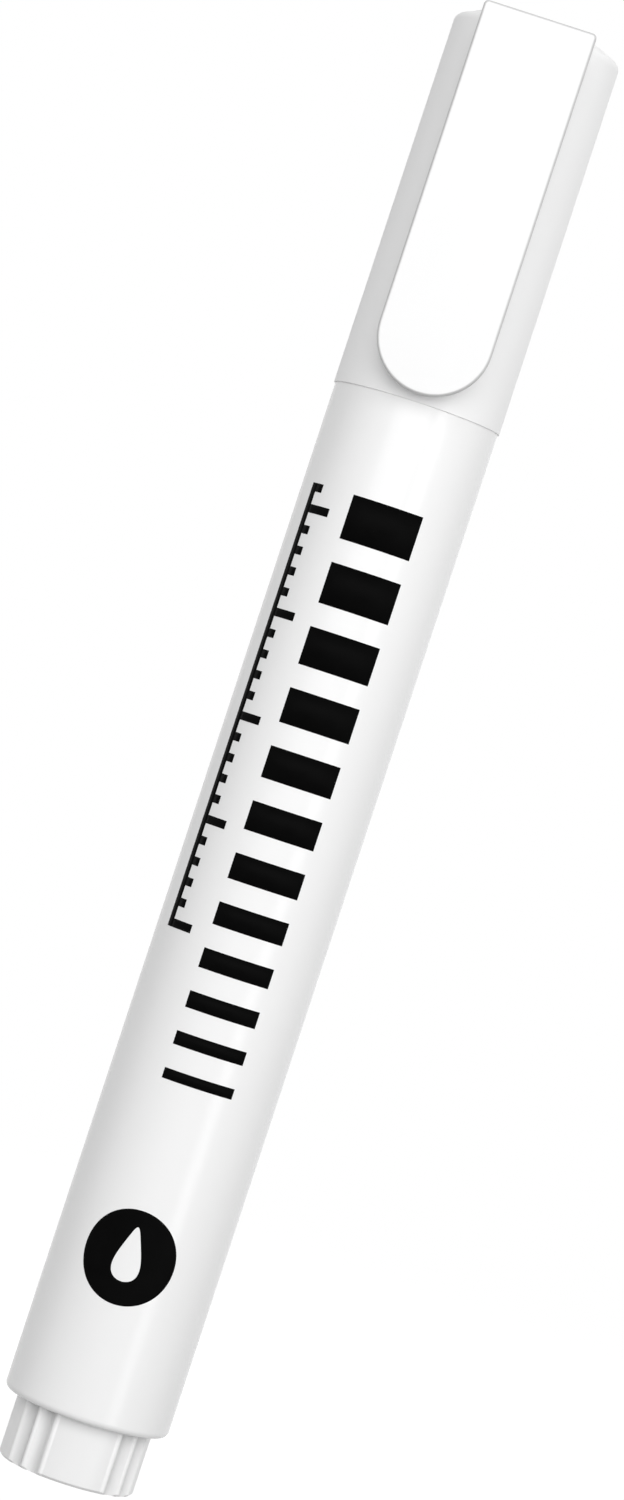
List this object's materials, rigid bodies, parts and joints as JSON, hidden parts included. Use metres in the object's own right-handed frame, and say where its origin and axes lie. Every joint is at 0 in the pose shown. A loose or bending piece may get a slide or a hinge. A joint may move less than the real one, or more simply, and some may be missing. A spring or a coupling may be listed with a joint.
{
  "type": "permanent marker",
  "caption": "Capped round-barrel marker with a flat pocket clip, a bullet nib on a spring valve, a mixing ball and a ribbed end plug.",
  "frame": {"origin": "centre of the end plug's flat end face, on the marker's axis", "axes": "+Z along the marker's axis from the end plug to the cap's crown, -Y towards the clip, +X to the right of the clip when it faces the viewer"},
  "size_m": [0.0162, 0.018, 0.1404],
  "materials": {
    "barrel_plastic": "smooth gloss white",
    "plug_plastic": "satin white",
    "nose_plastic": "satin white",
    "nib_felt": "dense white felt",
    "valve_plastic": "natural white",
    "seal_rubber": "matt black",
    "spring_steel": "drawn steel wire",
    "ball_steel": "polished steel",
    "cap_plastic": "frosted satin white",
    "clip_plastic": "smooth white",
    "print_ink": "black screen-printed ink"
  },
  "bodies": {
    "barrel": {"barrel": "barrel_plastic", "nib_holder": "nose_plastic", "valve_casing": "valve_plastic", "valve_spring": "spring_steel"},
    "plug": {"tail_plug": "plug_plastic"},
    "ball": {"mixing_ball": "ball_steel"},
    "nib": {"nib": "nib_felt"},
    "valve": {"valve_rod": "valve_plastic", "valve_seal": "seal_rubber"},
    "cap": {"cap_shell": "cap_plastic", "inner_cap": "nose_plastic", "crown_plug": "cap_plastic"},
    "clip": {"clip": "clip_plastic"}
  },
  "joints": [
    {"name": "cap_pull", "type": "slide", "parent": "barrel", "child": "cap", "axis": [0, 0, 1], "range_m": [0, 0.045]},
    {"name": "clip_flex", "type": "hinge", "parent": "cap", "child": "clip", "pos_m": [0, -0.0085, 0.138], "axis": [-1, 0, 0], "range_deg": [0, 5], "stiffness_Nm_per_rad": 0.5, "springref_deg": -1.15},
    {"name": "nib_press", "type": "slide", "parent": "barrel", "child": "nib", "axis": [0, 0, -1], "range_m": [0, 0.0015], "stiffness_N_per_m": 400, "springref_m": -0.003},
    {"name": "valve_open", "type": "slide", "parent": "barrel", "child": "valve", "axis": [0, 0, -1], "range_m": [0, 0.0015], "deforming": ["valve_spring"]},
    {"name": "plug_pull", "type": "slide", "parent": "barrel", "child": "plug", "axis": [0, 0, -1], "range_m": [0, 0.014]},
    {"name": "ball_rattle", "type": "slide", "parent": "plug", "child": "ball", "axis": [0, 0, 1], "range_m": [0, 0.08]}
  ],
  "couplings": [
    {"joint": "valve_open", "follows": "nib_press", "ratio": 1}
  ]
}
